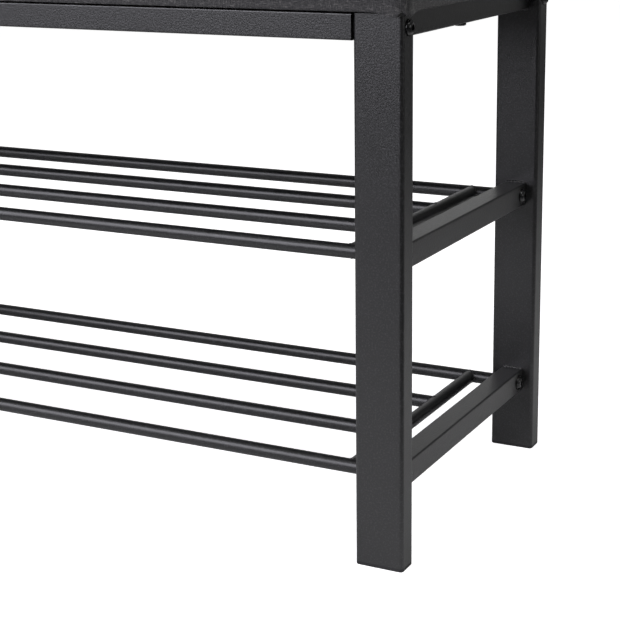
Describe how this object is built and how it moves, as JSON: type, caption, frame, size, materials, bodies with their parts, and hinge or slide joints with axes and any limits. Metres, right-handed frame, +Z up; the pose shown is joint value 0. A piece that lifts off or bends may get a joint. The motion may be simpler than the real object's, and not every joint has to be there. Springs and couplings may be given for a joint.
{
  "type": "entryway shoe bench",
  "caption": "Steel-framed entryway bench with a padded fabric seat over two open shelves of round rods for shoes.",
  "frame": {"origin": "on the floor under the middle of the bench", "axes": "+X along the bench, +Z up, the front faces -Y"},
  "size_m": [0.8066, 0.321, 0.48],
  "materials": {
    "frame_coat": "satin charcoal powder coat with a fine texture",
    "foot_plastic": "matte black moulded plastic",
    "fastener_black": "black-coated steel, slightly glossy",
    "insert_steel": "zinc-plated steel",
    "seat_board": "bare fibreboard",
    "seat_foam": "open-cell foam",
    "seat_fabric": "dark grey melange linen-look weave",
    "seat_lining": "black non-woven lining"
  },
  "bodies": {
    "root": {"foot_front_left": "foot_plastic", "foot_front_right": "foot_plastic", "foot_rear_left": "foot_plastic", "foot_rear_right": "foot_plastic", "leg_front_left": "frame_coat", "leg_front_right": "frame_coat", "leg_rear_left": "frame_coat", "leg_rear_right": "frame_coat", "leg_top_plates": "frame_coat", "lower_shelf_bar_left": "frame_coat", "lower_shelf_bar_right": "frame_coat", "lower_shelf_cross_rod_left": "frame_coat", "lower_shelf_cross_rod_right": "frame_coat", "lower_shelf_rod_front": "frame_coat", "lower_shelf_rod_mid_front": "frame_coat", "lower_shelf_rod_mid_rear": "frame_coat", "lower_shelf_rod_rear": "frame_coat", "rail_bolts": "fastener_black", "rail_front": "frame_coat", "rail_inserts": "frame_coat", "rail_rear": "frame_coat", "rail_washers": "fastener_black", "seat_board": "seat_board", "seat_cover": "seat_fabric", "seat_dust_cover": "seat_lining", "seat_foam": "seat_foam", "seat_screws": "fastener_black", "seat_tee_nuts": "insert_steel", "shelf_bolts": "fastener_black", "shelf_rod_inserts": "insert_steel", "shelf_washers": "fastener_black", "top_bar_left": "frame_coat", "top_bar_right": "frame_coat", "upper_shelf_bar_left": "frame_coat", "upper_shelf_bar_right": "frame_coat", "upper_shelf_cross_rod_left": "frame_coat", "upper_shelf_cross_rod_right": "frame_coat", "upper_shelf_rod_front": "frame_coat", "upper_shelf_rod_mid_front": "frame_coat", "upper_shelf_rod_mid_rear": "frame_coat", "upper_shelf_rod_rear": "frame_coat"}
  },
  "joints": []
}
